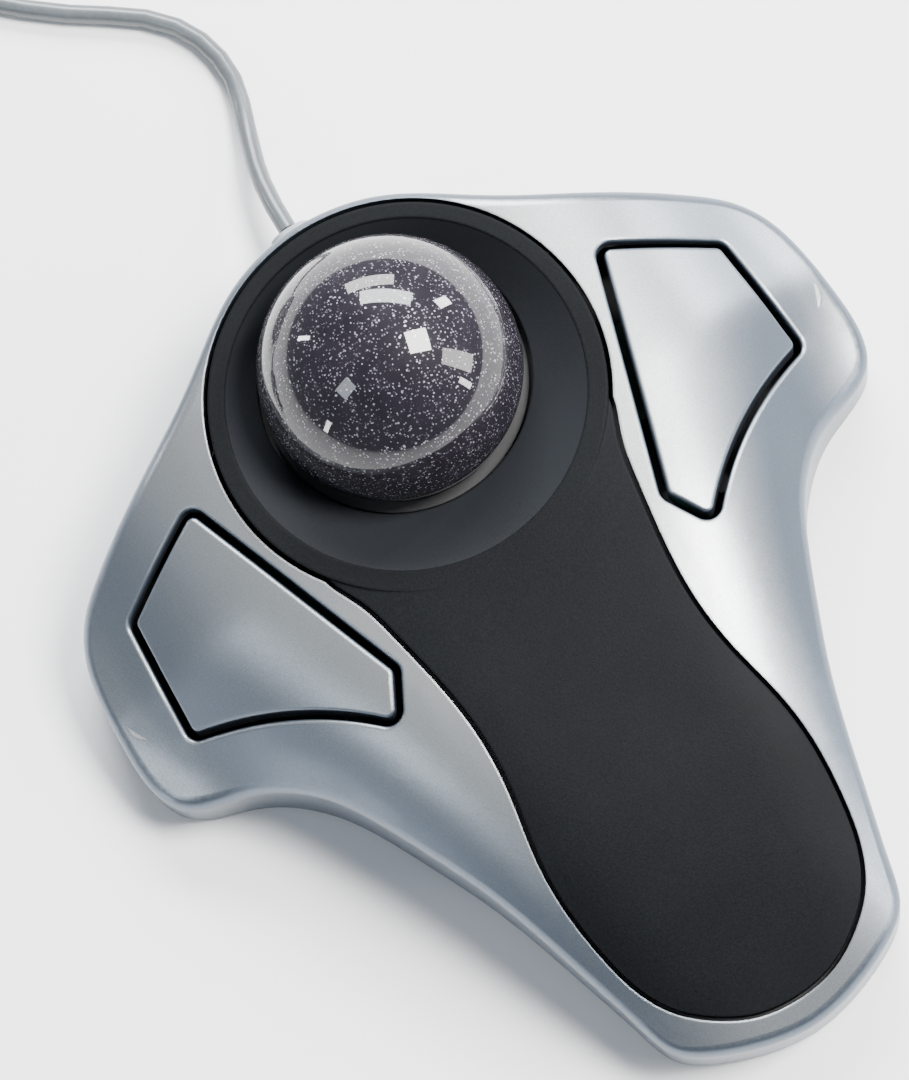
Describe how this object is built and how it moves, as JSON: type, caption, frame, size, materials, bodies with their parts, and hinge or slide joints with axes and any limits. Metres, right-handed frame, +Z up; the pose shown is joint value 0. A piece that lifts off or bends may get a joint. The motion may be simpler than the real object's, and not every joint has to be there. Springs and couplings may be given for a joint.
{
  "type": "trackball mouse",
  "caption": "Wired desk trackball mouse: silver winged case, dark dished palm panel, free speckled ball, side buttons, USB cord wound in a coil.",
  "frame": {"origin": "centre of the footprint of the case, cord left out, at the level the feet stand on", "axes": "+X to the user's right, +Y forward from the palm to the ball and the cord exit, +Z up"},
  "size_m": [0.1596, 0.2356, 0.052],
  "materials": {
    "silver_paint": "satin",
    "dark_panel": "matte",
    "dark_plastic": "satin",
    "speckled_ball": "polished",
    "cord_grey": "satin",
    "grommet": "satin",
    "rubber": "matte",
    "steel": "satin",
    "zinc_screw": "satin",
    "ceramic": "polished",
    "board_green": "satin",
    "chip_black": "satin",
    "clear_lens": "polished",
    "white_nylon": "satin",
    "gold": "satin",
    "label_white": "satin",
    "red_plunger": "satin",
    "wire_set": "satin"
  },
  "bodies": {
    "case": {"top_shell": "silver_paint", "panel_frame": "dark_plastic", "centre_panel": "dark_panel", "bottom_cover": "dark_plastic", "rubber_feet": "rubber", "rating_label": "label_white", "case_screws": "zinc_screw", "hinge_pins": "steel", "left_switch": "chip_black", "right_switch": "chip_black", "ball_cup": "dark_plastic", "ball_bearings": "ceramic", "cup_screws": "zinc_screw", "circuit_board": "board_green", "board_screws": "zinc_screw", "optical_sensor": "chip_black", "sensor_lens": "clear_lens", "sensor_led": "clear_lens", "controller_chip": "chip_black", "crystal": "steel", "capacitors": "chip_black", "chip_resistors": "chip_black", "board_socket": "white_nylon", "cable_connector": "white_nylon", "cord_cores": "wire_set", "inner_cord": "cord_grey", "strain_relief": "grommet", "cord": "cord_grey", "cord_coil": "cord_grey", "cord_tail": "cord_grey", "plug_grip": "cord_grey", "plug_shell": "steel", "plug_tongue": "white_nylon", "plug_contacts": "gold"},
    "left_button": {"left_button": "silver_paint", "left_plunger": "red_plunger"},
    "right_button": {"right_button": "silver_paint", "right_plunger": "red_plunger"},
    "ball": {"ball": "speckled_ball"}
  },
  "joints": [
    {"name": "left_button_press", "type": "hinge", "parent": "case", "child": "left_button", "pos_m": [-0.029, 0.004, 0.019], "axis": [-1, 0, 0], "range_deg": [0, 1.3], "stiffness_Nm_per_rad": 1.2},
    {"name": "right_button_press", "type": "hinge", "parent": "case", "child": "right_button", "pos_m": [0.029, 0.004, 0.019], "axis": [-1, 0, 0], "range_deg": [0, 1.3], "stiffness_Nm_per_rad": 1.2},
    {"name": "ball_roll", "type": "hinge", "parent": "case", "child": "ball", "pos_m": [0, 0.0426, 0.032], "axis": [1, 0, 0], "continuous": true}
  ]
}
